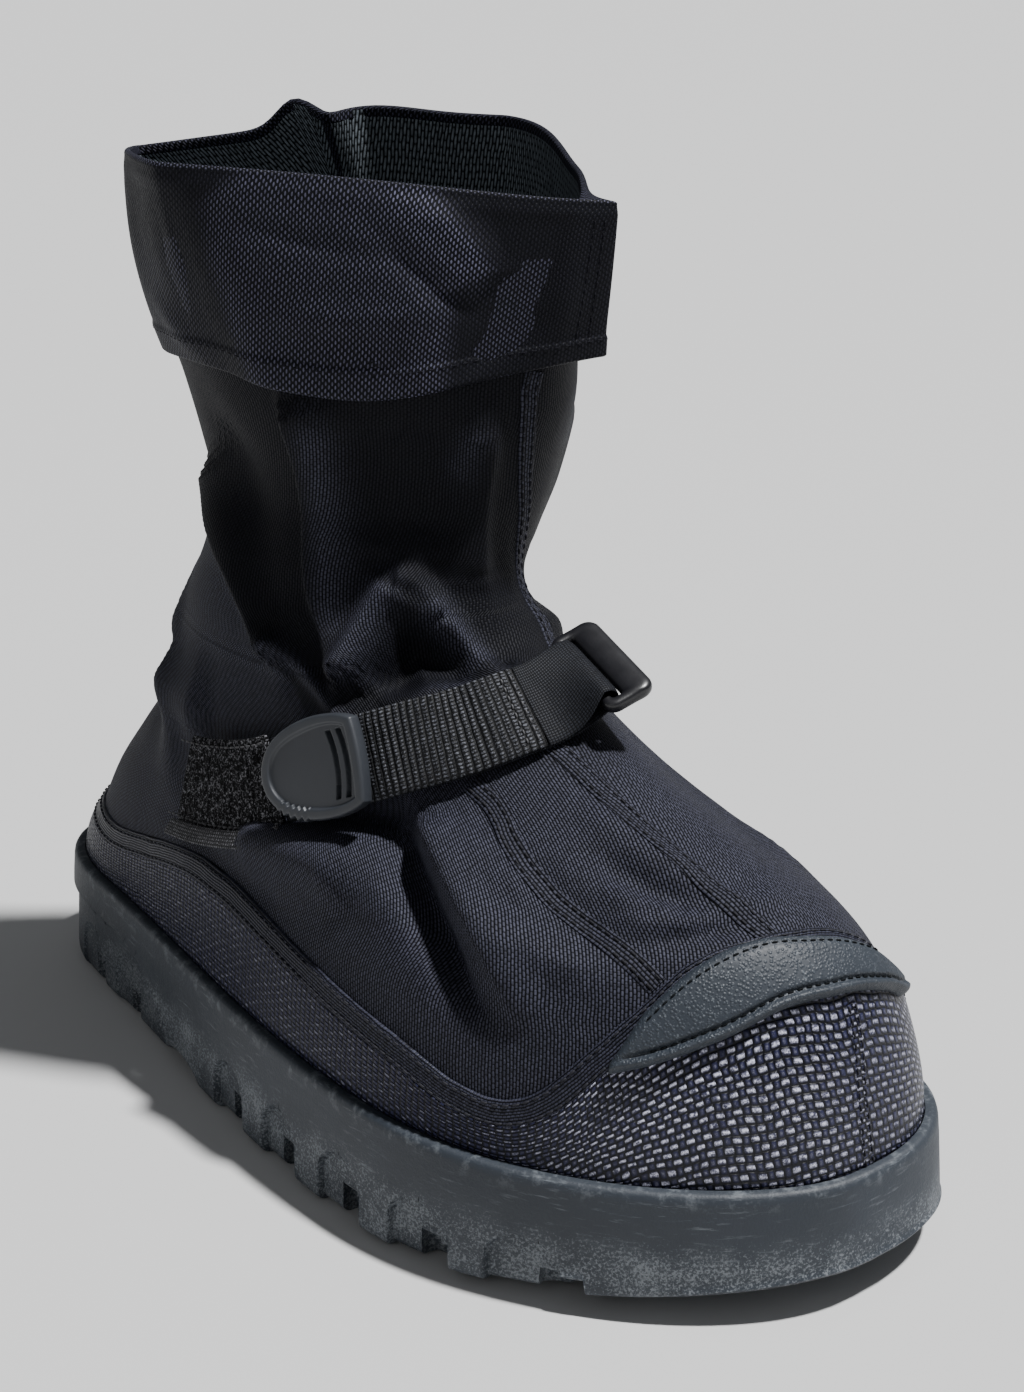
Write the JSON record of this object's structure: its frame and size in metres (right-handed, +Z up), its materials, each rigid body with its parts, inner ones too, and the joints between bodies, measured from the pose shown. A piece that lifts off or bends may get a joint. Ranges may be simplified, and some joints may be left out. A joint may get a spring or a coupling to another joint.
{
  "type": "winter overshoe",
  "caption": "Slip-over ankle-high overshoe for a right foot with a lugged rubber cup sole, turned-down nylon cuff and instep strap",
  "frame": {"origin": "middle of the bottom of the bounding box, on the floor", "axes": "toe to -Y, outer side to -X, inner side to +X, +Z up"},
  "size_m": [0.1428, 0.328, 0.2838],
  "materials": {
    "sole_rubber": "matt, dusty on the lower half",
    "insole_board": "matt",
    "shaft_nylon": "fine weave, slight sheen",
    "coated_rand": "coarse coated weave, glossy",
    "bumper_rubber": "grained, matt",
    "cuff_nylon": "coarse weave, satin",
    "strap_tape": "smooth, matt",
    "strap_webbing": "ribbed",
    "strap_pile": "pile",
    "tab_plastic": "matt",
    "buckle_plastic": "satin"
  },
  "bodies": {
    "root": {"outsole": "sole_rubber", "insole": "insole_board", "upper": "shaft_nylon", "shaft": "shaft_nylon", "rand": "coated_rand", "toe_bumper": "bumper_rubber", "cuff": "cuff_nylon", "strap_tape": "strap_tape", "strap_webbing": "strap_webbing", "loop_patch": "strap_pile", "pull_tab": "tab_plastic", "buckle": "buckle_plastic"}
  },
  "joints": []
}
